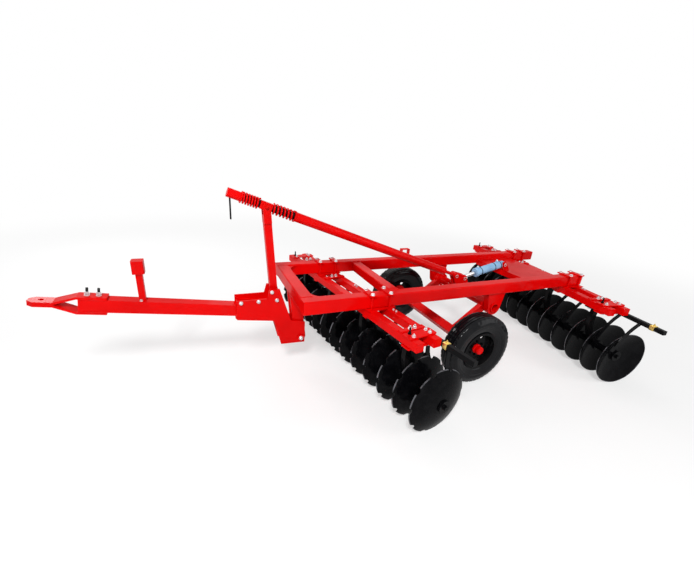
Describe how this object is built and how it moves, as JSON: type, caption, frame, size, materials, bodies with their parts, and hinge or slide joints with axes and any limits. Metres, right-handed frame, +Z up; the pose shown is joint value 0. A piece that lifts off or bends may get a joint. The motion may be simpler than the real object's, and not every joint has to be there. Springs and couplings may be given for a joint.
{
  "type": "trailed offset disc harrow",
  "caption": "Trailed offset disc harrow with a notched front gang, a plain rear gang, transport wheels on a hydraulic lift and a levelling rod to the drawbar.",
  "frame": {"origin": "middle of the footprint of the parked machine, on the ground", "axes": "+X rearwards along the frame, away from the hitch; +Y across the frame, away from the side that the picture was taken from; +Z up"},
  "size_m": [6.2292, 3.0676, 1.8551],
  "materials": {
    "red_paint": "gloss",
    "black_steel": "satin",
    "disc_steel": "satin",
    "tyre_rubber": "matte",
    "barrel_paint": "gloss",
    "polished_rod": "polished"
  },
  "bodies": {
    "frame": {"frame_front_cross": "red_paint", "frame_mid_cross": "red_paint", "frame_rail_left": "red_paint", "frame_rail_right": "red_paint", "frame_rear_cross": "red_paint", "front_beams": "red_paint", "front_clamps": "red_paint", "front_end_plates": "red_paint", "front_hangers": "black_steel", "front_scrapers": "black_steel", "hose_loop": "red_paint", "lift_brackets": "red_paint", "ram_bracket": "red_paint", "rear_beams": "red_paint", "rear_clamps": "red_paint", "rear_end_plates": "red_paint", "rear_hangers": "black_steel", "rear_scrapers": "black_steel", "tongue_ears": "red_paint"},
    "front_gang": {"front_axle": "black_steel", "front_discs": "disc_steel"},
    "rear_gang": {"rear_axle": "black_steel", "rear_discs": "disc_steel"},
    "lift": {"rockshaft": "red_paint", "lift_arms": "red_paint", "lift_lever": "red_paint", "axle_beam": "red_paint"},
    "left_wheel": {"left_tyre": "tyre_rubber", "left_rim": "black_steel", "left_hub": "red_paint"},
    "right_wheel": {"right_tyre": "tyre_rubber", "right_rim": "black_steel", "right_hub": "red_paint"},
    "drawbar": {"tongue_tube": "red_paint", "tongue_sleeve": "red_paint", "headstock_plates": "red_paint", "mast": "red_paint", "hitch_plate_upper": "red_paint", "hitch_plate_lower": "red_paint", "hose_post": "red_paint"},
    "level": {"trunnion": "red_paint", "level_rod": "red_paint", "level_springs": "red_paint"},
    "ram_tube": {"ram_barrel": "barrel_paint"},
    "ram_piston": {"ram_rod": "polished_rod"}
  },
  "joints": [
    {"name": "wheel_lift", "type": "hinge", "parent": "frame", "child": "lift", "pos_m": [1.12937, 0.08989, 0.695], "axis": [0, 1, 0], "range_deg": [-25, 45]},
    {"name": "left_wheel_spin", "type": "hinge", "parent": "lift", "child": "left_wheel", "pos_m": [0.71812, -0.70011, 0.385], "axis": [0, 1, 0], "continuous": true},
    {"name": "right_wheel_spin", "type": "hinge", "parent": "lift", "child": "right_wheel", "pos_m": [0.71812, 0.87989, 0.385], "axis": [0, 1, 0], "continuous": true},
    {"name": "front_gang_spin", "type": "hinge", "parent": "frame", "child": "front_gang", "pos_m": [-0.33181, 0.10629, 0.305], "axis": [-0.1426, 0.9898, 0], "continuous": true},
    {"name": "rear_gang_spin", "type": "hinge", "parent": "frame", "child": "rear_gang", "pos_m": [2.56211, 0.06625, 0.305], "axis": [0.1891, 0.982, 0], "continuous": true},
    {"name": "tongue_pitch", "type": "hinge", "parent": "frame", "child": "drawbar", "pos_m": [-0.98863, 0.08989, 0.386], "axis": [0, 1, 0], "range_deg": [-3.96, 7]},
    {"name": "level_swing", "type": "hinge", "parent": "drawbar", "child": "level", "pos_m": [-1.31063, 0.08989, 1.705], "axis": [0, 1, 0], "range_deg": [-8.5, 4.79]},
    {"name": "ram_swing", "type": "hinge", "parent": "frame", "child": "ram_tube", "pos_m": [1.72437, 0.08989, 1.012], "axis": [0, 1, 0], "range_deg": [-2.89, 1.67]},
    {"name": "ram_slide", "type": "slide", "parent": "ram_tube", "child": "ram_piston", "axis": [-0.976, 0, -0.2179], "range_m": [-0.1278, 0.0715]}
  ],
  "couplings": [
    {"joint": "tongue_pitch", "follows": "wheel_lift", "ratio": 0.15225},
    {"joint": "level_swing", "follows": "wheel_lift", "ratio": -0.18562},
    {"joint": "ram_swing", "follows": "wheel_lift", "ratio": -0.060847},
    {"joint": "ram_slide", "follows": "wheel_lift", "m_per_rad": -0.16147}
  ]
}
